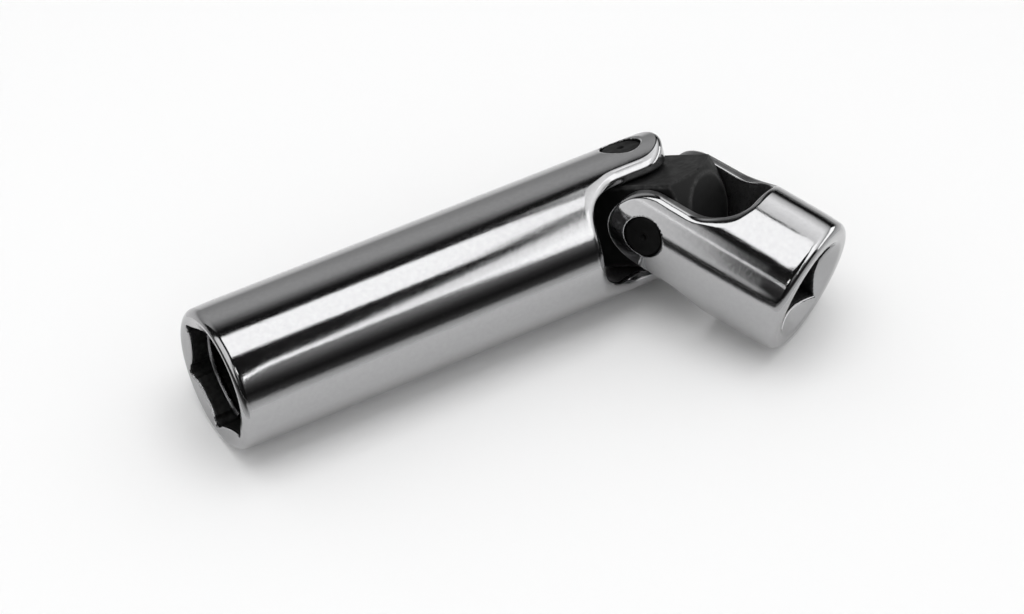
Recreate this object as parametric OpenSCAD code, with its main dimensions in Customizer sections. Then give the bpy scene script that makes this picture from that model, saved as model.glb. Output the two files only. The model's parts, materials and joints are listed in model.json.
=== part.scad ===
// Universal-joint spark plug socket.
// A long deep socket for the plug's hexagon and a short drive end are joined by a
// block on two crossed pins, so that the drive end can lean over in any direction.
// The origin is the centre of the mouth. +X runs along the socket to the joint, and +Z is up.
// The part lies as it comes to rest, with the socket and the rim of the drive end on the ground.

/* [Socket] */
// Outside diameter of the socket
socket_d = 20; // [19:0.5:24]
// Length from the mouth to the first joint pin
socket_l = 66; // [60:1:90]
// Rounding of the outer rim at the mouth
mouth_round = 1.2; // [0.4:0.1:1.5]
// Hexagon that takes the plug, across the flats
hex_af = 14.2; // [13:0.1:14.6]
// Diameter of the round relief in each corner of the hexagon
hex_relief_d = 2.3; // [1.6:0.1:3]
// Length of the hexagon from the mouth
hex_l = 14; // [10:0.5:20]
// Turn of the hexagon about the socket's axis, from the first joint pin
hex_turn = 26; // [0:1:60]
// Outer diameter of the lead-in chamfer at the mouth
mouth_lead_d = 17.6; // [17.2:0.1:18]
// Clearance bore for the plug's insulator
bore_d = 13.8; // [12:0.1:14]
// Length of the clearance bore from the mouth, without its drill point
bore_l = 47.5; // [40:0.5:49]

/* [Plug clip] */
// Distance of the clip from the mouth
clip_x = 3.4; // [3:0.1:8]
// Diameter of the clip's wire
clip_wire_d = 0.9; // [0.7:0.05:1.1]
// How far the clip stands in past the flats of the hexagon
clip_bite = 0.15; // [0.1:0.05:0.4]
// Open part of the ring, in degrees
clip_gap = 40; // [20:5:90]

/* [Drive end] */
// Outside diameter of the drive end
drive_d = 20; // [19:0.5:24]
// Length from the second joint pin to the end face
drive_l = 22; // [20:0.5:30]
// Rounding of the outer rim at the end face
drive_round = 1.2; // [0.4:0.1:1.5]
// Square hole for the wrench, across the flats
square_af = 9.6; // [9.5:0.05:9.9]
// Turn of the square hole about the axis, from the second joint pin
square_turn = 6; // [0:1:45]
// Outer diameter of the lead-in chamfer at the end face
drive_lead_d = 15; // [14.5:0.1:16]
// Distance of the ball recesses from the end face
detent_x = 5.2; // [4.5:0.1:6.5]
// Diameter of the ball that the recesses take
detent_d = 3.6; // [3:0.1:4.5]
// Depth of the ball recesses below the flats
detent_depth = 0.7; // [0.4:0.1:1]

/* [Joint] */
// Diameter of the joint pins
pin_d = 5.8; // [5:0.1:6]
// How far the flat ends of the pins lie below the round outside of the ears
pin_recess = 0.5; // [0.5:0.1:1]
// Distance between the two crossed pins
pin_offset = 6.6; // [6.5:0.1:8]
// Width and height of the joint block
block_w = 12.1; // [11.6:0.1:12.4]
// Distance from each pin to the nearer end of the joint block
block_end = 5.4; // [4.8:0.1:5.8]
// Diameter of the flat face that the turned cones leave at each end of the joint block
block_face_d = 10.4; // [9:0.1:11.4]
// Chamfer along the edges of the joint block
block_chamfer = 0.3; // [0.1:0.05:0.6]
// Depth of the ears, from the pin to the bottom of the slot
slot_depth = 10.8; // [10.6:0.1:12]
// Rounding in the bottom corners of the slot
slot_round = 3.5; // [2:0.1:4]
// Half the width of an ear, which is also the radius of its round end
ear_r = 5.7; // [5.2:0.1:6.2]
// Rounding of the outer rim at the tips of the ears
ear_round = 0.8; // [0.4:0.1:2]
// Radius of the hollow that runs from an ear into the body
flare_r = 6.6; // [5:0.1:7]
// Bend at the first pin, as the part lies
swing_a = 60; // [0:1:70]
// Bend at the second pin, as the part lies
swing_b = 33; // [0:1:70]

/* [Fits] */
// Gap on each side of the block in the slots
side_gap = 0.25; // [0.15:0.05:0.4]
// Gap around the pins in the block, where they turn
pin_play = 0.05; // [0.03:0.01:0.1]
// Gap around the pins in the ears, where they are held
pin_fit = 0.02; // [0.01:0.01:0.05]
// Gap around the clip in its groove
clip_fit = 0.04; // [0.02:0.01:0.1]

/* [Hidden] */
$fn = 96;
chrome = "silver";
black_oxide = [0.12, 0.12, 0.13];
spring_steel = [0.55, 0.55, 0.56];
// Overrun of a cut past the face that it opens
over = 1;
// Slopes of the two lead-in chamfers, the block's turned cones and the drill point, from the face
mouth_slope = 18;
drive_slope = 30;
block_slope = 30;
drill_slope = 31;
// How far the reliefs reach past the corners of the hexagon
relief_reach = 0.1;
// Chamfers of the pins and of their holes, and the centre mark in each pin
pin_chamfer = 0.3;
hole_chamfer = 0.25;
centre_mark_d = 1.1;

socket_r = socket_d / 2;
drive_r = drive_d / 2;
slot_w = block_w + 2 * side_gap;
hex_corner_d = hex_af / cos(30);
clip_r = hex_af / 2 - clip_bite + clip_wire_d / 2;
groove_r = clip_r + clip_wire_d / 2 + clip_fit;

// Height of the lowest point of the drive end's rim above the socket's lowest line,
// when the whole part is rolled about the socket's axis.
function block_rise(roll) = sin(swing_a) * sin(roll);
function drive_rise(roll) = cos(swing_b) * block_rise(roll) - sin(swing_b) * cos(roll);
function rim_height(roll) =
    pin_offset * block_rise(roll)
    + (drive_l - drive_round) * drive_rise(roll)
    - (drive_r - drive_round) * sqrt(1 - pow(drive_rise(roll), 2))
    - drive_round + socket_r;
// Halving finds the roll at which that rim just touches the ground.
function settled(low, high, steps) =
    let (middle = (low + high) / 2)
    steps == 0 ? middle
    : rim_height(middle) < 0 ? settled(middle, high, steps - 1)
    : settled(low, middle, steps - 1);
roll_steps = 40;
rest_roll = settled(0, 90, roll_steps);

// Places of the three bodies. The first pin lies along Z, and the second along Y.
module at_socket() {
    rotate([-rest_roll, 0, 0]) children();
}
module at_block() {
    at_socket() translate([socket_l, 0, 0]) rotate([0, 0, -swing_a]) children();
}
module at_drive() {
    at_block() translate([pin_offset, 0, 0]) rotate([0, swing_b, 0]) children();
}

// A revolved shape whose axis is turned from Z to X.
module turned() {
    rotate([0, 90, 0]) rotate_extrude() children();
}

// Blank of a round body from x = 0 to x = l, with the rims at its two ends rounded.
module round_blank(r, l, near_rim, far_rim) {
    turned() {
        translate([0, near_rim]) square([r, l - near_rim - far_rim]);
        rounded_end(r, near_rim);
        translate([0, l]) mirror([0, 1]) rounded_end(r, far_rim);
    }
}

// Half section of a round end of a blank, with its face on y = 0.
// It runs on into the blank, so that no seam is left.
module rounded_end(r, rim) {
    square([r - rim, 2 * rim]);
    translate([r - rim, rim]) circle(rim);
}

// Cone that leads into a hole in the face x = 0.
module lead_in(d, slope) {
    r = d / 2;
    rise = tan(slope);
    turned() polygon([[0, -over], [r + over / rise, -over], [0, r * rise]]);
}

// Outline of a pair of ears, seen along their pin at the origin. The body lies towards -x.
module ear_outline(r, l) {
    root_x = flare_r - slot_depth;
    circle(ear_r);
    translate([-l, -ear_r]) square([l, 2 * ear_r]);
    difference() {
        translate([-l, -r - over]) square([l + root_x, 2 * (r + over)]);
        for (side = [0, 1])
            mirror([0, side]) translate([root_x, ear_r + flare_r]) {
                circle(flare_r);
                translate([-flare_r, 0]) square(flare_r);
            }
    }
}

// Outline of the slot between the ears, seen across their pin at the origin.
module slot_outline(reach) {
    straight_x = slot_round - slot_depth;
    half = slot_w / 2;
    translate([straight_x, -half]) square([reach - straight_x, slot_w]);
    translate([-slot_depth, slot_round - half]) square([slot_depth, slot_w - 2 * slot_round]);
    for (side = [-1, 1])
        translate([straight_x, side * (half - slot_round)]) circle(slot_round);
}

// Hole for a pin through both ears, with a light chamfer at each end.
module pin_hole(r) {
    hole_r = pin_d / 2 + pin_fit;
    cylinder(h = 2 * r + 2 * over, r = hole_r, center = true);
    for (end = [0, 180])
        rotate([end, 0, 0]) translate([0, 0, r - hole_chamfer])
            cylinder(h = over, r1 = hole_r, r2 = hole_r + over);
}

// Cuts a pair of ears into the +x end of a round blank. Their pin lies along Z at the origin.
module forked(r, l) {
    difference() {
        intersection() {
            children();
            translate([0, 0, -r - over]) linear_extrude(2 * (r + over)) ear_outline(r, l + over);
        }
        rotate([90, 0, 0]) translate([0, 0, -r - over])
            linear_extrude(2 * (r + over)) slot_outline(r + over);
        pin_hole(r);
    }
}

// Joint pin along Z, with flat chamfered ends and a centre mark in each.
module joint_pin(r) {
    half = r - pin_recess;
    pin_r = pin_d / 2;
    mark_r = centre_mark_d / 2;
    rotate_extrude() polygon([
        [0, -half + mark_r], [mark_r, -half],
        [pin_r - pin_chamfer, -half], [pin_r, -half + pin_chamfer],
        [pin_r, half - pin_chamfer], [pin_r - pin_chamfer, half],
        [mark_r, half], [0, half - mark_r]
    ]);
}

module socket_body() {
    color(chrome) at_socket() difference() {
        translate([socket_l, 0, 0]) forked(socket_r, socket_l)
            translate([-socket_l, 0, 0]) round_blank(socket_r, socket_l + ear_r, mouth_round, ear_round);
        lead_in(mouth_lead_d, mouth_slope);
        rotate([hex_turn, 0, 0]) hexagon_hole();
        turned() polygon([
            [0, -over], [bore_d / 2, -over], [bore_d / 2, bore_l],
            [0, bore_l + bore_d / 2 * tan(drill_slope)]
        ]);
        turned() translate([0, clip_x - clip_wire_d / 2 - clip_fit])
            square([groove_r, clip_wire_d + 2 * clip_fit]);
    }
}

// Hexagon hole from the face x = 0, with a round relief in each corner.
module hexagon_hole() {
    relief_x = hex_corner_d / 2 + relief_reach - hex_relief_d / 2;
    translate([-over, 0, 0]) rotate([0, 90, 0]) {
        cylinder(h = hex_l + over, d = hex_corner_d, $fn = 6);
        for (turn = [0 : 60 : 300])
            rotate([0, 0, turn]) translate([relief_x, 0, 0])
                cylinder(h = hex_l + over, d = hex_relief_d);
    }
}

module plug_clip() {
    color(spring_steel) at_socket() translate([clip_x, 0, 0]) rotate([0, 90, 0])
        rotate([0, 0, clip_gap / 2]) rotate_extrude(angle = 360 - clip_gap)
            translate([clip_r, 0]) circle(d = clip_wire_d, $fn = 24);
}

module first_pin() {
    color(black_oxide) at_socket() translate([socket_l, 0, 0]) joint_pin(socket_r);
}

module joint_block() {
    length = pin_offset + 2 * block_end;
    diagonal = (block_w - block_chamfer) * sqrt(2);
    color(black_oxide) at_block() difference() {
        translate([-block_end, 0, 0]) intersection() {
            square_bar(length, block_w);
            rotate([45, 0, 0]) square_bar(length, diagonal);
            coned_bar(length);
        }
        block_bore();
        translate([pin_offset, 0, 0]) rotate([90, 0, 0]) block_bore();
    }
}

// Square bar along X that runs past x = 0 and x = l.
module square_bar(l, w) {
    translate([-over, -w / 2, -w / 2]) cube([l + 2 * over, w, w]);
}

// Round bar from x = 0 to x = l, with a flat face and a cone at each end. The cones trim the block's corners.
module coned_bar(l) {
    face_r = block_face_d / 2;
    back = (block_w - face_r) * tan(block_slope);
    turned() polygon([
        [0, 0], [face_r, 0], [block_w, back],
        [block_w, l - back], [face_r, l], [0, l]
    ]);
}

// Bore in the block in which a pin turns.
module block_bore() {
    cylinder(h = block_w + 2 * over, r = pin_d / 2 + pin_play, center = true);
}

module second_pin() {
    color(black_oxide) at_drive() rotate([90, 0, 0]) joint_pin(drive_r);
}

module drive_body() {
    color(chrome) at_drive() rotate([90, 0, 0]) difference() {
        mirror([1, 0, 0]) forked(drive_r, drive_l)
            translate([-drive_l, 0, 0]) round_blank(drive_r, drive_l + ear_r, drive_round, ear_round);
        translate([drive_l, 0, 0]) mirror([1, 0, 0]) square_hole();
    }
}

// Square hole for the wrench from the face x = 0 through to the slot, with its ball recesses.
module square_hole() {
    lead_in(drive_lead_d, drive_slope);
    rotate([square_turn, 0, 0]) {
        translate([-over, -square_af / 2, -square_af / 2])
            cube([drive_l - slot_depth + slot_round + over, square_af, square_af]);
        for (turn = [0 : 90 : 270])
            rotate([turn, 0, 0]) translate([detent_x, 0, square_af / 2 + detent_depth - detent_d / 2])
                sphere(d = detent_d);
    }
}

socket_body();
plug_clip();
first_pin();
joint_block();
second_pin();
drive_body();
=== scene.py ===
import json
import math

import bpy
import numpy as np
from mathutils import Matrix, Vector


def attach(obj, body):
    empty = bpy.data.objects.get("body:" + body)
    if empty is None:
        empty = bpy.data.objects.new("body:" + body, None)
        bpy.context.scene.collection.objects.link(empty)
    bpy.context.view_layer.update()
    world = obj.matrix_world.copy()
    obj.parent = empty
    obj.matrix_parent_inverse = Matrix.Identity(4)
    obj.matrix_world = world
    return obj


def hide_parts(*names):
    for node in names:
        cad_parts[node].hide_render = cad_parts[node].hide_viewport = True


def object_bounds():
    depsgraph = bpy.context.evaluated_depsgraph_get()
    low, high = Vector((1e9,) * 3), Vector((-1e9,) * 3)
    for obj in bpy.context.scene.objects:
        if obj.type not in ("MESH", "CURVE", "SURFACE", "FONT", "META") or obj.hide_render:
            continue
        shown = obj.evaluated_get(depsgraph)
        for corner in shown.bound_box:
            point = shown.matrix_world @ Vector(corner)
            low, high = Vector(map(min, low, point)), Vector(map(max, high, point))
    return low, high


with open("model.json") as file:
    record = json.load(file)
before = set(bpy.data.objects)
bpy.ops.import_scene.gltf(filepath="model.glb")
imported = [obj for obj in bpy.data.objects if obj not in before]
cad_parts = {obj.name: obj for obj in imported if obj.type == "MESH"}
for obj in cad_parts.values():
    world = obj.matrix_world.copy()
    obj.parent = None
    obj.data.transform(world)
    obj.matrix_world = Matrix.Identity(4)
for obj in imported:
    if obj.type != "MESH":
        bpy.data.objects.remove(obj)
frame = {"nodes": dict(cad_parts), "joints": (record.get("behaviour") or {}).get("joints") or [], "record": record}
CAD_LOW, CAD_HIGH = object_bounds()

# The part's sizes are in millimetres, in each body's own frame. The studio's are in metres.
MM = 0.001

# Sizes of both chrome bodies, as in the solids
BODY_R = 10.0
RIM_ROUND = 1.2
PIN_HOLE_R = 2.92
HOLE_CHAMFER = 0.25
EAR_R = 5.7
FLARE_R = 6.6
SLOT_HALF = 6.3
SLOT_DEPTH = 10.8
SLOT_ROUND = 3.5

# Socket
SOCKET_L = 66.0
MOUTH_LEAD_R = 8.8
MOUTH_SLOPE = math.radians(18)
HEX_HALF = 7.1
HEX_L = 14.0
HEX_TURN = math.radians(26)
RELIEF_R = 1.15
RELIEF_PAST_CORNER = 0.1
RELIEF_AT = 2 * HEX_HALF / math.sqrt(3) + RELIEF_PAST_CORNER - RELIEF_R
BORE_R = 6.9
BORE_L = 47.5
DRILL_SLOPE = math.radians(31)
GROOVE_X = 3.4
GROOVE_HALF = 0.49
GROOVE_R = 7.89

# Drive end
DRIVE_L = 22.0
DRIVE_LEAD_R = 7.5
DRIVE_SLOPE = math.radians(30)
SQUARE_HALF = 4.8
SQUARE_TURN = math.radians(6)
DETENT_FROM_FACE = 5.2
DETENT_R = 1.8
DETENT_DEPTH = 0.7

# Joint block
PIN_OFFSET = 6.6
BLOCK_HALF = 6.05
BLOCK_END = 5.4
BLOCK_FACE_R = 5.2
BLOCK_SLOPE = math.radians(30)
BLOCK_CHAMFER = 0.3
BLOCK_BORE_R = 2.95

# Roundings that polishing leaves: on the edges of the ears, in the crotch between them, along the slot
SOCKET_EDGES = (0.8, 1.7, 0.5)
DRIVE_EDGES = (0.5, 1.4, 0.3)
# Distance from the pin at which the edge of an ear begins to turn into the crotch
CROTCH_FROM = 6.5
HOLE_FILLET = 0.12
MOUTH_FILLET = 0.15
BLOCK_FILLET = 0.15

# The polishing wheel lets the round outside fall off a little towards a face, as (reach, rate of fall),
# and along the drive end's ears, from a depth below its face
MOUTH_FALL = (5.0, 0.006)
DRIVE_FALL = (4.5, 0.012)
CROWN_FROM = 9.0
CROWN_FALL = 0.001

# Distances over which the slot's marks fade away from its wall, and painted shade sets in within a hole below its
# lead-in
SLOT_WALL = (0.02, 0.08)
HOLE_FADE = (0.15, 0.5)
# How far the marks of a hole keep clear of its lead-in's edge and of the slot
LEAD_CLEAR = 0.05
SLOT_CLEAR = 0.2
# How strongly the lead-ins show tool marks
LEAD_MARKS = 0.3
# Bright borders of the dull sides of the drive end's ears, whose dark colour is painted shade, from where they
# turn dull to where they are:
# along the ears, in the crotch and at the slot
EAR_BORDER = (0.35, 0.65)
CROTCH_BORDER = (0.05, 0.25)
SLOT_BORDER = (0.15, 0.3)
# How far the dull sides reach past the slot's floor, and how strongly they take the painted shade of a hole's
# inside
SIDE_PAST_SLOT = 1.0
SIDE_SHADE = 0.8
# Distance to the block's second nearest face, negative inside, over which its wear sets in
EDGE_WEAR = (-0.3, -0.02)


def smooth_step(a, b, v):
    """Rises smoothly from 0 at a to 1 at b."""
    t = np.clip((v - a) / (b - a), 0, 1)
    return t * t * (3 - 2 * t)


# Distance fields, negative inside
def rounded(a, b, r):
    """The part inside both fields, with its edge rounded to radius r."""
    return np.minimum(np.maximum(a, b), -r) + np.hypot(np.maximum(a + r, 0), np.maximum(b + r, 0))


def ear_field(x, y):
    """Outline of the ears along their pin. The body lies towards -x."""
    root = FLARE_R - SLOT_DEPTH
    side = np.abs(y) - EAR_R
    tip = np.hypot(x, y) - EAR_R
    flare = FLARE_R - np.hypot(x - root, np.abs(y) - EAR_R - FLARE_R)
    return np.where(x > 0, tip, np.where(x > root, side, flare))


def slot_field(x, z):
    """Outline of the slot between the ears, across their pin."""
    qx = -x - (SLOT_DEPTH - SLOT_ROUND)
    qz = np.abs(z) - (SLOT_HALF - SLOT_ROUND)
    outside = np.hypot(np.maximum(qx, 0), np.maximum(qz, 0))
    return outside + np.minimum(np.maximum(qx, qz), 0) - SLOT_ROUND


def pin_hole_field(x, y, z):
    """Hole along z with a light chamfer at each end."""
    radius = np.hypot(x, y) - PIN_HOLE_R
    flare = (radius - (np.abs(z) - BODY_R + HOLE_CHAMFER)) / math.sqrt(2)
    return np.minimum(radius, flare)


def forked(body, x, y, z, edges):
    """Cuts a pair of ears with a pin hole along z into a body that lies towards -x."""
    ear_fillet, crotch_fillet, slot_fillet = edges
    fillet = ear_fillet + (crotch_fillet - ear_fillet) * smooth_step(CROTCH_FROM, SLOT_DEPTH, -x)
    f = rounded(body, ear_field(x, y), fillet)
    f = rounded(f, -slot_field(x, z), slot_fillet)
    return rounded(f, -pin_hole_field(x, y, z), HOLE_FILLET)


def lead_field(radius, depth, lead_r, slope):
    """Cone that leads into a hole, at a depth below the face."""
    return (radius - lead_r) * math.sin(slope) + depth * math.cos(slope)


def blank_field(radius, depth, fall):
    """Round bar with a rounded rim, at a depth below its face."""
    reach, rate = fall
    drop = rate * np.maximum(reach - np.maximum(depth, 0), 0) ** 2
    return rounded(radius - BODY_R + drop, -depth, RIM_ROUND)


def hexagon_field(y, z):
    """The socket's hexagon with a round relief in each corner."""
    c, s = math.cos(HEX_TURN), math.sin(HEX_TURN)
    u, v = y * c + z * s, z * c - y * s
    slant = v * math.sqrt(3) / 2
    f = np.maximum(np.abs(u), np.maximum(np.abs(u / 2 + slant), np.abs(u / 2 - slant))) - HEX_HALF
    for k in range(6):
        a = math.radians(60 * k + 30)
        relief = np.hypot(u - RELIEF_AT * math.cos(a), v - RELIEF_AT * math.sin(a)) - RELIEF_R
        f = np.minimum(f, relief)
    return f


def socket_field(p):
    """The socket along x, with its mouth at 0 and its ears at the far end."""
    x, y, z = p[..., 0], p[..., 1], p[..., 2]
    radius = np.hypot(y, z)
    hexagon = np.maximum(hexagon_field(y, z), x - HEX_L)
    point = (x - BORE_L) * math.cos(DRILL_SLOPE) - (BORE_R - radius) * math.sin(DRILL_SLOPE)
    bore = np.maximum(radius - BORE_R, point)
    groove = np.maximum(radius - GROOVE_R, np.abs(x - GROOVE_X) - GROOVE_HALF)
    f = forked(blank_field(radius, x, MOUTH_FALL), x - SOCKET_L, y, z, SOCKET_EDGES)
    f = rounded(f, -lead_field(radius, x, MOUTH_LEAD_R, MOUTH_SLOPE), MOUTH_FILLET)
    f = rounded(f, -hexagon, MOUTH_FILLET)
    f = rounded(f, -bore, MOUTH_FILLET)
    return np.maximum(f, -groove)


def drive_blank(radius, depth):
    """The drive end's round outside with its crown."""
    crown = CROWN_FALL * np.maximum(depth - CROWN_FROM, 0) ** 2
    return blank_field(radius + crown, depth, DRIVE_FALL)


def drive_field(p):
    """The drive end along x, with its pin at 0 and its face at the far end."""
    x, y, z = p[..., 0], p[..., 1], p[..., 2]
    radius = np.hypot(y, z)
    depth = DRIVE_L - x
    c, s = math.cos(SQUARE_TURN), math.sin(SQUARE_TURN)
    u, v = np.abs(y * c + z * s), np.abs(z * c - y * s)
    square = np.maximum(np.maximum(u, v) - SQUARE_HALF, -x)
    f = forked(drive_blank(radius, depth), -x, y, z, DRIVE_EDGES)
    f = rounded(f, -lead_field(radius, depth, DRIVE_LEAD_R, DRIVE_SLOPE), MOUTH_FILLET)
    f = rounded(f, -square, MOUTH_FILLET)
    centre = SQUARE_HALF + DETENT_DEPTH - DETENT_R
    along = depth - DETENT_FROM_FACE
    for a, b in ((u, v), (v, u)):
        ball = np.sqrt((a - centre) ** 2 + b ** 2 + along ** 2) - DETENT_R
        f = np.maximum(f, -ball)
    return f


def block_faces(p):
    """Fields of the block's flats, edge chamfers, cones and end faces."""
    x, y, z = p[..., 0], np.abs(p[..., 1]), np.abs(p[..., 2])
    middle = PIN_OFFSET / 2
    end = np.abs(x - middle) - (middle + BLOCK_END)
    cone = end * math.cos(BLOCK_SLOPE) + (np.hypot(y, z) - BLOCK_FACE_R) * math.sin(BLOCK_SLOPE)
    chamfer = (y + z - (2 * BLOCK_HALF - BLOCK_CHAMFER)) / math.sqrt(2)
    return y - BLOCK_HALF, z - BLOCK_HALF, chamfer, cone, end


def block_field(p):
    """The block along x, with its first pin at 0 along z and its second one along y."""
    f, *others = block_faces(p)
    for other in others:
        f = rounded(f, other, BLOCK_FILLET)
    f = rounded(f, BLOCK_BORE_R - np.hypot(p[..., 0], p[..., 1]), BLOCK_FILLET)
    return rounded(f, BLOCK_BORE_R - np.hypot(p[..., 0] - PIN_OFFSET, p[..., 2]), BLOCK_FILLET)


# How much of a surface shows tool marks or wear, or takes painted shade inside a hole or on the drive end's ear
# sides, each from 0 to 1
def body_marks(p, depth, slot_x, lead_r, slope):
    """Tool marks on the slot's walls and lightly on the lead-in, and painted shade on the inside of the hole."""
    radius = np.hypot(p[..., 1], p[..., 2])
    slot = 1 - smooth_step(*SLOT_WALL, slot_field(slot_x, p[..., 2]))
    hole = (radius < lead_r - LEAD_CLEAR) & (slot_x < -SLOT_DEPTH - SLOT_CLEAR)
    # The inside value paints shade into the hole below its lead-in
    inside = hole * smooth_step(*HOLE_FADE, lead_field(radius, depth, lead_r, slope))
    return {"marks": np.maximum(slot, LEAD_MARKS * hole), "inside": inside}


def socket_marks(p):
    return body_marks(p, p[..., 0], p[..., 0] - SOCKET_L, MOUTH_LEAD_R, MOUTH_SLOPE)


def drive_marks(p):
    """The sides of the drive end's ears get tool marks and painted shade as well, up to their bright borders."""
    x, depth = p[..., 0], DRIVE_L - p[..., 0]
    found = body_marks(p, depth, -x, DRIVE_LEAD_R, DRIVE_SLOPE)
    below = -drive_blank(np.hypot(p[..., 1], p[..., 2]), depth)
    crotch = smooth_step(CROTCH_FROM, SLOT_DEPTH, x)
    start, end = (a + (b - a) * crotch for a, b in zip(EAR_BORDER, CROTCH_BORDER))
    side = smooth_step(start, end, below) * (x < SLOT_DEPTH + SIDE_PAST_SLOT)
    side = side * smooth_step(*SLOT_BORDER, slot_field(-x, p[..., 2]))
    # The ear sides take painted shade through the inside value, as the inside of a hole does
    return {"marks": np.maximum(found["marks"], side),
            "inside": np.maximum(found["inside"], SIDE_SHADE * side)}


def block_marks(p):
    """Bright wear along the edges where two faces of the block meet."""
    second_nearest = np.sort(np.stack(block_faces(p)), axis=0)[-2]
    return {"marks": smooth_step(*EDGE_WEAR, second_nearest)}


# Meshing: the step that a slope is measured over, and the least that it is divided by
SLOPE_STEP = 2e-3
TINY = 1e-12
# Steps that close in on a crossing, and the shares of the way between which a step stays
CROSSING_STEPS = 6
CROSSING_CLAMP = (0.05, 0.95)
# Pull of a vertex towards the middle of its crossings, and steps that then settle it on the surface
MIDDLE_PULL = 0.03
SETTLE_STEPS = 2
# A corner is sharp where the surface turns by more than this on the way towards the quad's centre
SHARP_TURN = math.radians(14)
TOWARDS_CENTRE = 0.35


def slope_of(field, p):
    """Unit gradient of a field at points p."""
    g = np.empty_like(p)
    for k in range(3):
        d = np.zeros(3)
        d[k] = SLOPE_STEP
        g[..., k] = field(p + d) - field(p - d)
    return g / np.maximum(np.linalg.norm(g, axis=-1, keepdims=True), TINY)


def crossings(field, axes, value, k):
    """Points where the surface crosses the grid's edges along axis k, and the four cells round each,
    in the order of a quad that faces outwards."""
    low, high = [slice(None)] * 3, [slice(None)] * 3
    low[k], high[k] = slice(None, -1), slice(1, None)
    low_value, high_value = value[tuple(low)], value[tuple(high)]
    crossed = (low_value < 0) != (high_value < 0)
    index = np.argwhere(crossed)
    a = np.stack([axes[m][index[:, m]] for m in range(3)], -1)
    b = a.copy()
    b[:, k] = axes[k][index[:, k] + 1]
    fa, fb = low_value[crossed], high_value[crossed]
    leaving = fa < 0
    for _ in range(CROSSING_STEPS):
        share = np.clip(fa / (fa - fb), *CROSSING_CLAMP)[:, None]
        mid = a + (b - a) * share
        f_mid = field(mid)
        same = (f_mid < 0) == (fa < 0)
        a, fa = np.where(same[:, None], mid, a), np.where(same, f_mid, fa)
        b, fb = np.where(same[:, None], b, mid), np.where(same, fb, f_mid)
    points = a + (b - a) * (fa / (fa - fb))[:, None]
    across = [m for m in range(3) if m != k]
    around = []
    for shift in ((-1, -1), (0, -1), (0, 0), (-1, 0)):
        cell = index.copy()
        cell[:, across] += shift
        around.append(np.ravel_multi_index(cell.T, [len(axis) - 1 for axis in axes]))
    around = np.stack(around, -1)
    turned = leaving == (k == 1)
    around[turned] = around[turned][:, ::-1]
    return points, around


def meshed(field, axes):
    """Closed quad mesh of the surface where a field is zero, on a box grid with the given axes.
    Each cell that the surface crosses gets one vertex, placed where the tangent planes
    at the cell's crossed edges meet, so that sharp edges stay sharp."""
    yy, zz = np.meshgrid(axes[1], axes[2], indexing="ij")
    value = np.stack([field(np.stack([np.full_like(yy, x), yy, zz], -1)) for x in axes[0]])
    found = [crossings(field, axes, value, k) for k in range(3)]
    # Each crossing counts for the four cells round its edge.
    points = np.concatenate([np.tile(p, (4, 1)) for p, _ in found])
    normals = np.concatenate([np.tile(slope_of(field, p), (4, 1)) for p, _ in found])
    quads = np.concatenate([around for _, around in found])
    used, ids = np.unique(np.concatenate([around.T.ravel() for _, around in found]), return_inverse=True)

    def total(weight):
        """Sum over the crossed edges of each cell."""
        return np.bincount(ids, weight, len(used))

    middle = np.stack([total(points[:, k]) for k in range(3)], -1) / np.bincount(ids)[:, None]
    offset = np.einsum("ij,ij->i", normals, points - middle[ids])
    matrix = np.empty((len(used), 3, 3))
    target = np.empty((len(used), 3))
    for r in range(3):
        target[:, r] = total(normals[:, r] * offset)
        for c in range(3):
            matrix[:, r, c] = total(normals[:, r] * normals[:, c])
    matrix += MIDDLE_PULL * np.eye(3)
    vertex = middle + np.linalg.solve(matrix, target[:, :, None])[:, :, 0]
    cell = np.unravel_index(used, [len(axis) - 1 for axis in axes])
    low = np.stack([axes[k][cell[k]] for k in range(3)], -1)
    high = np.stack([axes[k][cell[k] + 1] for k in range(3)], -1)
    vertex = np.clip(vertex, low, high)
    for _ in range(SETTLE_STEPS):
        vertex -= field(vertex)[:, None] * slope_of(field, vertex)
    return vertex, np.searchsorted(used, quads)


def corner_normals(field, vertex, quads):
    """Normals of each quad's corners: smooth over rounded surfaces, split at sharp edges."""
    smooth = slope_of(field, vertex)[quads]
    centre = vertex[quads].mean(1, keepdims=True)
    near = slope_of(field, vertex[quads] * (1 - TOWARDS_CENTRE) + centre * TOWARDS_CENTRE)
    sharp = np.einsum("ijk,ijk->ij", smooth, near) < math.cos(SHARP_TURN)
    return np.where(sharp[..., None], near, smooth)


def spaced(*spans):
    """Grid positions from spans of (start, end, step), each span starting where the last one ended."""
    parts = [np.linspace(a, b, max(1, round((b - a) / h)), endpoint=False) for a, b, h in spans]
    return np.concatenate(parts + [[spans[-1][1]]])


def placed(name, data):
    """A new object in the scene."""
    thing = bpy.data.objects.new(name, data)
    bpy.context.scene.collection.objects.link(thing)
    return thing


def meshed_piece(name, field, marks, axes, place, body, cad_node, finish):
    """Meshes a field, puts it in its place and lets it stand for its CAD node.
    The finish reads the piece's own coordinates in millimetres and the marks from the mesh."""
    vertex, quads = meshed(field, axes)
    normal = corner_normals(field, vertex, quads)
    turn, shift = place
    mesh = bpy.data.meshes.new(name)
    mesh.from_pydata((vertex @ turn.T + shift) * MM, [], quads.tolist())
    mesh.polygons.foreach_set("use_smooth", [True] * len(quads))
    mesh.normals_split_custom_set((normal.reshape(-1, 3) @ turn.T).tolist())
    mesh.attributes.new("own", "FLOAT_VECTOR", "POINT").data.foreach_set("vector", vertex.ravel())
    for key, value in marks(vertex).items():
        mesh.attributes.new(key, "FLOAT", "POINT").data.foreach_set("value", value.astype(float))
    mesh.update()
    mesh.materials.append(finish)
    piece = placed(name, mesh)
    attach(piece, body)
    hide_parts(cad_node)


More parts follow.
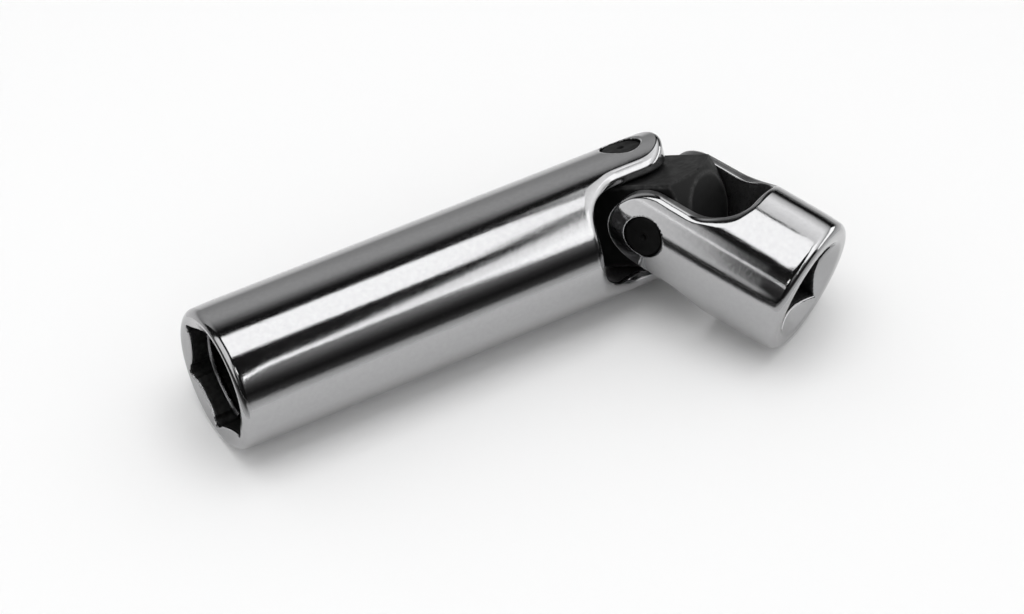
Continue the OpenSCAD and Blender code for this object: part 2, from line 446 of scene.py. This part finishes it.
# Places of the three bodies, from the frame's own joints and mounts
def axes_from(x, z):
    """Columns of a turn whose first and last axes lie along x and z."""
    x, z = (np.array(v, float) / np.linalg.norm(v) for v in (x, z))
    return np.stack([x, np.cross(z, x), z], -1)


joints = {j["name"]: j for j in frame["joints"]}
mounts = {m["name"]: m for m in frame["record"]["mounts"]}
first, second = joints["first_pin_hinge"], joints["second_pin_hinge"]
first_at, second_at = (np.array(j["pos_m"]) / MM for j in (first, second))
drive_axis = np.array(mounts["drive_square"]["axis"])
socket_place = (axes_from((1, 0, 0), first["axis"]), np.zeros(3))
block_place = (axes_from(second_at - first_at, first["axis"]), first_at)
drive_place = (axes_from(drive_axis, second["axis"]), second_at)

# Finishes: the greys between which each one varies, from darker to lighter
CHROME_GREYS = ((0.39, 0.39, 0.395), (0.41, 0.41, 0.415))
MACHINED_GREYS = ((0.34, 0.34, 0.345), (0.42, 0.42, 0.425))
# Greys of the painted shade inside holes and on the drive end's ear sides
PAINTED_SHADE_GREYS = ((0.04, 0.04, 0.04), (0.08, 0.08, 0.08))
BLOCK_GREYS = ((0.004, 0.004, 0.004), (0.008, 0.008, 0.008))
PIN_GREYS = ((0.002, 0.002, 0.002), (0.005, 0.005, 0.005))
WORN_GREYS = ((0.025, 0.025, 0.025), (0.06, 0.06, 0.06))
WIRE_GREYS = ((0.16, 0.16, 0.165), (0.24, 0.24, 0.245))
# Their roughness, from smoother to rougher
POLISHED = (0.07, 0.12)
MACHINED = (0.26, 0.4)
PAINTED_SHADE_ROUGHNESS = (0.4, 0.55)
OXIDE = (0.42, 0.58)
DRAWN = (0.2, 0.34)
# Specular levels of the oxide on the block and on the pins
BLOCK_SHINE = 0.14
PIN_SHINE = 0.07
# Heights of their bumps, in metres
PEEL_HEIGHT = 3e-6
LINE_HEIGHT = 2.5e-6
GRAIN_HEIGHT = 3e-6
WIRE_HEIGHT = 2e-6
# The middle of a noise, where most of its values lie
NOISE_MIDDLE = (0.3, 0.7)


def node(tree, kind, inputs=None, **settings):
    """A shader node with its settings, whose inputs take a value or another node's output."""
    n = tree.nodes.new("ShaderNode" + kind)
    for key, value in settings.items():
        setattr(n, key, value)
    for key, value in (inputs or {}).items():
        if isinstance(value, bpy.types.NodeSocket):
            tree.links.new(value, n.inputs[key])
        else:
            n.inputs[key].default_value = value
    return n


def material(name, metallic):
    """A new material with its node tree and its shader."""
    m = bpy.data.materials.new(name)
    m.use_nodes = True
    shader = m.node_tree.nodes["Principled BSDF"]
    shader.inputs["Metallic"].default_value = metallic
    return m, m.node_tree, shader


def attribute(tree, name, output="Fac"):
    """What the mesh carries under a name."""
    return node(tree, "Attribute", attribute_name=name).outputs[output]


def noise(tree, place, scale, detail):
    return node(tree, "TexNoise", {"Vector": place, "Scale": scale, "Detail": detail}).outputs["Fac"]


def stretched(tree, place, scale):
    """Coordinates scaled along each axis, so that a noise runs in lines along the axis with the least."""
    return node(tree, "Mapping", {"Vector": place, "Scale": scale}).outputs[0]


def spread(tree, value, low, high):
    """Spreads the middle of a noise over a range."""
    start, end = NOISE_MIDDLE
    limits = {"From Min": start, "From Max": end, "To Min": low, "To Max": high}
    return node(tree, "MapRange", {"Value": value, **limits}).outputs[0]


def greys(tree, value, low, high):
    """Turns the middle of a noise into greys between two colours."""
    ramp = node(tree, "ValToRGB", {"Fac": value})
    for stop, at, color in zip(ramp.color_ramp.elements, NOISE_MIDDLE, (low, high)):
        stop.position = at
        stop.color = (*color, 1)
    return ramp.outputs["Color"]


def blend(tree, factor, a, b, kind):
    """Goes from a to b with the factor. The kind is FLOAT or RGBA."""
    mix = node(tree, "Mix", data_type=kind)
    wanted = [s for s in mix.inputs if s.enabled]
    for socket, value in zip(wanted, (factor, a, b)):
        tree.links.new(value, socket)
    return [s for s in mix.outputs if s.enabled][0]


def bumps(tree, shader, *heights):
    """Stacks bumps of (pattern, height) on a shader."""
    normal = None
    for pattern, height in heights:
        bump = node(tree, "Bump", {"Height": pattern, "Strength": 1.0, "Distance": height})
        if normal:
            tree.links.new(normal, bump.inputs["Normal"])
        normal = bump.outputs["Normal"]
    tree.links.new(normal, shader.inputs["Normal"])


def chrome_finish():
    """Polished outside with fine lines along the axis, satin where tools cut last,
    and painted shade, a dark colour with a rougher finish, inside the holes and on the drive end's ear sides. Its
    noise scales are per millimetre."""
    m, tree, shader = material("chrome", 1.0)
    own = attribute(tree, "own", "Vector")
    marks = attribute(tree, "marks")
    # The inside attribute carries the painted shade of the holes and of the drive end's ear sides
    inside = attribute(tree, "inside")
    peel = noise(tree, own, scale=1.6, detail=2)
    grain = noise(tree, own, scale=8, detail=1)
    along = noise(tree, stretched(tree, own, (0.1, 1, 1)), scale=6, detail=3)
    across = noise(tree, stretched(tree, own, (1, 1, 0.08)), scale=5, detail=3)
    roughness = blend(tree, marks, spread(tree, along, *POLISHED), spread(tree, across, *MACHINED), "FLOAT")
    roughness = blend(tree, inside, roughness, spread(tree, grain, *PAINTED_SHADE_ROUGHNESS), "FLOAT")
    color = blend(tree, marks, greys(tree, peel, *CHROME_GREYS),
                  greys(tree, across, *MACHINED_GREYS), "RGBA")
    color = blend(tree, inside, color, greys(tree, peel, *PAINTED_SHADE_GREYS), "RGBA")
    tree.links.new(roughness, shader.inputs["Roughness"])
    tree.links.new(color, shader.inputs["Base Color"])
    bumps(tree, shader, (peel, PEEL_HEIGHT), (along, LINE_HEIGHT), (grain, GRAIN_HEIGHT))
    return m


def black_oxide(name, oxide_greys, shine):
    """Mottled black, with bright wear where the mesh has marks. Its noise scales are per metre."""
    m, tree, shader = material(name, 0.0)
    place = node(tree, "TexCoord").outputs["Object"]
    marks = attribute(tree, "marks")
    mottle = noise(tree, place, scale=900, detail=4)
    grain = noise(tree, place, scale=5000, detail=2)
    worn = node(tree, "Math", {0: marks, 1: spread(tree, mottle, 0, 1)}, operation="MULTIPLY").outputs[0]
    color = blend(tree, worn, greys(tree, mottle, *oxide_greys), greys(tree, grain, *WORN_GREYS), "RGBA")
    tree.links.new(color, shader.inputs["Base Color"])
    tree.links.new(spread(tree, mottle, *OXIDE), shader.inputs["Roughness"])
    shader.inputs["Specular IOR Level"].default_value = shine
    bumps(tree, shader, (grain, GRAIN_HEIGHT))
    return m


def spring_steel():
    """Drawn wire. Its noise scale is per metre."""
    m, tree, shader = material("spring_steel", 1.0)
    place = node(tree, "TexCoord").outputs["Object"]
    drawn = noise(tree, stretched(tree, place, (1, 0.2, 0.2)), scale=6000, detail=3)
    tree.links.new(greys(tree, drawn, *WIRE_GREYS), shader.inputs["Base Color"])
    tree.links.new(spread(tree, drawn, *DRAWN), shader.inputs["Roughness"])
    bumps(tree, shader, (drawn, WIRE_HEIGHT))
    return m


chrome = chrome_finish()
block_black = black_oxide("black_oxide", BLOCK_GREYS, BLOCK_SHINE)
pin_black = black_oxide("pin_oxide", PIN_GREYS, PIN_SHINE)
wire = spring_steel()

# Grids of the pieces along and across their own axes, with long steps where nothing changes along them
FINE, MEDIUM, COARSE, LONG = 0.2, 0.4, 1.0, 2.5
socket_along = spaced((-0.31, 1.9, FINE), (1.9, 2.7, MEDIUM), (2.7, 4.1, FINE), (4.1, 13.6, COARSE),
                      (13.6, 14.3, FINE), (14.3, 46.9, LONG), (46.9, 52.1, MEDIUM), (52.1, 72.2, FINE))
drive_along = spaced((-6.13, 13.7, FINE), (13.7, 15.2, MEDIUM), (15.2, 22.31, FINE))
body_across = spaced((-10.31, 10.31, FINE))
block_along = spaced((-5.77, 12.37, FINE))
block_across = spaced((-6.33, 6.33, FINE))

# Pieces: three that stand for CAD nodes, and three CAD nodes with a new finish
meshed_piece("chrome_socket", socket_field, socket_marks, (socket_along, body_across, body_across),
             socket_place, "socket", "socket_body", chrome)
meshed_piece("chrome_drive", drive_field, drive_marks, (drive_along, body_across, body_across),
             drive_place, "drive", "drive_body", chrome)
meshed_piece("black_block", block_field, block_marks, (block_along, block_across, block_across),
             block_place, "block", "joint_block", block_black)
for name, finish in (("first_pin", pin_black), ("second_pin", pin_black), ("plug_clip", wire)):
    materials = frame["nodes"][name].data.materials
    materials.clear()
    materials.append(finish)

# Camera, as fitted to the photograph, with its place in millimetres and its focal length in pixels
CAMERA_AT = Vector((-106.4, -239.1, 274.3))
CAMERA_RIGHT = Vector((0.8555, -0.5173, 0.0243))
CAMERA_UP = Vector((0.3511, 0.6140, 0.7071))
FOCAL_LENGTH = 2882
IMAGE_WIDTH = 1024
SENSOR_WIDTH = 36.0
CLIP_NEAR, CLIP_FAR = 0.01, 20.0

camera = placed("camera", bpy.data.cameras.new("camera"))
back = CAMERA_RIGHT.cross(CAMERA_UP).normalized()
up = back.cross(CAMERA_RIGHT).normalized()
turn = Matrix((CAMERA_RIGHT.normalized(), up, back)).transposed().to_4x4()
camera.matrix_world = Matrix.Translation(CAMERA_AT * MM) @ turn
camera.data.sensor_width = SENSOR_WIDTH
camera.data.lens = FOCAL_LENGTH / IMAGE_WIDTH * SENSOR_WIDTH
camera.data.clip_start, camera.data.clip_end = CLIP_NEAR, CLIP_FAR
bpy.context.scene.camera = camera
bpy.context.scene.view_settings.view_transform = "Standard"

# Studio
FLOOR_Z = CAD_LOW.z
FLOOR_HALF = 3.0
FLOOR_GREY = 0.92
FLOOR_ROUGHNESS = 0.8
WORLD_GLOW = 0.78
# Soft box above the part
LAMP_H = 0.40
LAMP_X, LAMP_Y = (-0.145, 0.207), (-0.137, 0.115)
LAMP_GLOW = 2.2
# Glow of the dark walls and ceiling round the set, and how far off they are
DARK = 0.012
TENT = 1.2


def flat(name, points, faces, finish):
    """A sheet of the studio."""
    mesh = bpy.data.meshes.new(name)
    mesh.from_pydata(points, [], faces)
    mesh.materials.append(finish)
    sheet = placed(name, mesh)
    return sheet


def card_finish():
    """Light of the strength that the mesh carries."""
    m = bpy.data.materials.new("card_glow")
    m.use_nodes = True
    tree = m.node_tree
    tree.nodes.remove(tree.nodes["Principled BSDF"])
    glow = node(tree, "Emission", {"Strength": attribute(tree, "glow")})
    tree.links.new(glow.outputs["Emission"], tree.nodes["Material Output"].inputs["Surface"])
    return m


card_glow = card_finish()


def card(name, rows):
    """A card that only shows in reflections, so that it blocks no view and no light.
    It is given as rows of points from one edge to the other, each with its glow or that of each point."""
    wide = len(rows[0][0])
    faces = [(r * wide + k, r * wide + k + 1, (r + 1) * wide + k + 1, (r + 1) * wide + k)
             for r in range(len(rows) - 1) for k in range(wide - 1)]
    sheet = flat(name, [p for row, _ in rows for p in row], faces, card_glow)
    levels = np.concatenate([np.broadcast_to(glow, wide) for _, glow in rows]).astype(float)
    sheet.data.attributes.new("glow", "FLOAT", "POINT").data.foreach_set("value", levels)
    for kind in ("camera", "diffuse", "transmission", "volume_scatter", "shadow"):
        setattr(sheet, "visible_" + kind, False)


def upright_card(name, start, end, rows):
    """A card that stands on the line from start to end, with rows of (height, glow) from below."""
    card(name, [([(*start, z), (*end, z)], glow) for z, glow in rows])


def level_card(name, rows):
    """A card at the soft box's height, with rows of (place y, left edge, right edge, glow)."""
    card(name, [([(left, y, LAMP_H), (right, y, LAMP_H)], glow) for y, left, right, glow in rows])


floor_finish, _, floor_shader = material("floor", 0.0)
floor_shader.inputs["Base Color"].default_value = (FLOOR_GREY, FLOOR_GREY, FLOOR_GREY, 1)
floor_shader.inputs["Roughness"].default_value = FLOOR_ROUGHNESS
floor_shader.inputs["Specular IOR Level"].default_value = 0.0
floor_corners = [(x * FLOOR_HALF, y * FLOOR_HALF, FLOOR_Z) for x, y in ((-1, -1), (1, -1), (1, 1), (-1, 1))]
flat("floor", floor_corners, [(0, 1, 2, 3)], floor_finish)

size_x, size_y = LAMP_X[1] - LAMP_X[0], LAMP_Y[1] - LAMP_Y[0]
light = bpy.data.lights.new("soft_box", "AREA")
light.shape = "RECTANGLE"
light.size, light.size_y = size_x, size_y
light.energy = LAMP_GLOW * math.pi * size_x * size_y
lamp = placed("soft_box", light)
lamp.location = (sum(LAMP_X) / 2, sum(LAMP_Y) / 2, LAMP_H)
lamp.visible_camera = False

ring = [(-TENT, -TENT), (TENT, -TENT), (TENT, TENT), (-TENT, TENT), (-TENT, -TENT)]
card("dark_walls", [([(x, y, z) for x, y in ring], DARK) for z in (FLOOR_Z, TENT)])
card("dark_ceiling", [([(-TENT, y, TENT), (TENT, y, TENT)], DARK) for y in (-TENT, TENT)])

# Cards that stand round the part
upright_card("back_card", (-0.5, 0.6), (0.49, 0.6),
             ((FLOOR_Z, 0.4), (0.08, 0.44), (0.26, 0.57), (0.42, 0.58), (0.52, 0.52), (0.65, 0.34),
              (0.83, 0.13), (1.08, DARK)))
upright_card("right_card", (0.5, -0.35), (0.5, 0.40),
             ((0.11, 0.3), (0.17, 0.9), (0.25, 1.4), (0.33, 1.75), (0.56, 1.5), (0.75, 1.35), (0.945, 1.3)))
upright_card("right_strip", (0.5, -0.3), (0.5, 0.1), ((FLOOR_Z, 2.4), (0.105, 2.4)))

# The left card has a bright part towards the back and a low line, each with its glow along the card.
# A row of (height, glow all along, share of the bright part, share of the line) takes the brightest.
LEFT_X = -0.5
LEFT_Y = (-0.5, -0.25, -0.215, -0.187, -0.175, -0.166, -0.159, -0.151, -0.137, -0.12, -0.07, 0.3)
LEFT_GLOW = np.array((0, 0, 0, 0.02, 0.05, 0.1, 0.32, 0.8, 0.9, 1.0, 1.3, 1.3))
LINE_GLOW = np.array((0, 0, 0.25, 0.5) + (0.55,) * 8)
LEFT_ROWS = ((0.025, DARK, 0, 0), (0.045, DARK, 0.9, 0), (0.055, DARK, 1, 1), (0.1, DARK, 1, 1),
             (0.115, 0.03, 1, 0), (0.2, 0.04, 1, 0), (0.3, 0.08, 1, 0), (0.362, 0.05, 1, 0),
             (0.376, 1.9, 1, 0), (0.398, 1.9, 1, 0), (0.412, 0.04, 1, 0), (0.56, 0.02, 0.8, 0),
             (0.62, DARK, 0.35, 0), (0.66, DARK, 0, 0))
card("left_card", [([(LEFT_X, y, z) for y in LEFT_Y],
                    np.maximum(glow, np.maximum(LEFT_GLOW * bright, LINE_GLOW * line)))
                   for z, glow, bright, line in LEFT_ROWS])
upright_card("front_wall", (-0.2, -0.75), (0.8, -0.75),
             ((FLOOR_Z, 0.08), (0.05, 0.04), (0.145, DARK), (0.27, 0.05), (0.38, 0.16), (0.53, 0.35),
              (0.6, 0.3), (0.62, DARK)))

# The front card lies in front of the soft box and to its right, with rows of (place y, left edge).
# It grows brighter to the right through two places, up to the right edge that it shares with its flap.
FRONT_PLACES = (0.262, 0.28)
FRONT_RIGHT = 0.8
FRONT_GLOW = (1.7, 1.75, 2.3, 2.5)
FRONT_ROWS = ((-0.125, 0.258), (-0.137, 0.248), (-0.17, 0.241), (-0.20, 0.236), (-0.25, 0.229),
              (-0.30, 0.216), (-0.37, 0.202), (-0.40, 0.19), (-0.49, 0.19))
card("front_card", [([(x, y, LAMP_H) for x in (left, *FRONT_PLACES, FRONT_RIGHT)], FRONT_GLOW)
                    for y, left in FRONT_ROWS])
level_card("front_flap", ((-0.49, 0.28, FRONT_RIGHT, 2.2), (-0.62, 0.36, FRONT_RIGHT, 1.8)))

# A bright tongue runs on from the front card to the left, with rows of (x, y, width, depth, glow)
TONGUE_ROWS = ((0.25, -0.40, 0, 0.08, 2.7), (0.2, -0.39, 0, 0.09, 2.7), (0.172, -0.42, 0.008, 0.09, 3),
               (0.152, -0.465, 0.015, 0.075, 3.2), (0.13, -0.52, 0.025, 0.05, 3.5),
               (0.108, -0.62, 0.03, 0, 4), (0.088, -0.72, 0.03, 0, 4))
card("tongue_card", [([(x, y, LAMP_H), (x + wide, y - deep, LAMP_H)], glow)
                     for x, y, wide, deep, glow in TONGUE_ROWS])

# A small bright card off to the left, and a card that widens the soft box to the right
level_card("spot_card", ((-0.28, -0.36, -0.26, 3), (-0.41, -0.36, -0.26, 3)))
SIDE_GLOW = 2.1
SIDE_ROWS = ((0.115, 0.222), (0.09, 0.225), (0.05, 0.27), (0, 0.26), (-0.03, 0.237), (-0.06, 0.222),
             (-0.09, 0.214), (-0.115, 0.208), (-0.137, LAMP_X[1]))
level_card("lamp_side", [(y, LAMP_X[1], right, SIDE_GLOW) for y, right in SIDE_ROWS])

# The floor's light in the chrome falls off away from the part, less to the back and more to the left.
# It lies just above the floor in turns round the part's middle, which start from its half sizes.
FADE_X, FADE_Y = 0.042, -0.009
HALF_X, HALF_Y = 0.044, 0.019
FADE_LIFT = 0.0001
FADE_STEPS = 96
# How far the turns are drawn in at the left
LEFT_SHIFT = 0.014
# Where the left and the back set in round a turn, as cosines and sines
LEFT_WIDE = 0.18
LEFT_BEHIND = (0.7, 0.95)
BACK_FROM = (0.6, 0.95)
# Turns as (distance, glow at the front, at the back and at the left, where the left sets in at the front)
FADE_ROWS = ((0.03, 0.88, 0.9, 0.78, 0.66), (0.045, 0.78, 0.88, 0.42, 0.66),
             (0.055, 0.735, 0.87, 0.16, 0.66), (0.07, 0.67, 0.85, 0.06, 0.66),
             (0.11, 0.56, 0.74, 0.04, 0.6), (0.16, 0.44, 0.62, 0.03, 0.5),
             (0.24, 0.2, 0.52, 0.03, 0.4), (0.4, 0.06, 0.46, 0.03, 0.4), (0.9, 0.03, 0.42, DARK, 0.4))


def fade_row(distance, front, back_glow, left_glow, left_from):
    """One turn of the floor's fading light round the part."""
    angle = np.linspace(0, 2 * math.pi, FADE_STEPS + 1)
    c, s = np.cos(angle), np.sin(angle)
    to_back = smooth_step(*BACK_FROM, s)
    left_ahead = smooth_step(left_from, left_from + LEFT_WIDE, -c)
    to_left = np.where(s < 0, left_ahead, smooth_step(*LEFT_BEHIND, -c))
    reach = distance - LEFT_SHIFT * to_left
    x = FADE_X + (HALF_X + reach) * c
    y = FADE_Y + (HALF_Y + reach) * s
    points = [(px, py, FLOOR_Z + FADE_LIFT) for px, py in zip(x, y)]
    return points, front + (back_glow - front) * to_back + (left_glow - front) * to_left


card("floor_fade", [fade_row(*row) for row in FADE_ROWS])

world = bpy.data.worlds.new("world")
bpy.context.scene.world = world
world.use_nodes = True
background = world.node_tree.nodes["Background"]
background.inputs["Color"].default_value = (1, 1, 1, 1)
background.inputs["Strength"].default_value = WORLD_GLOW
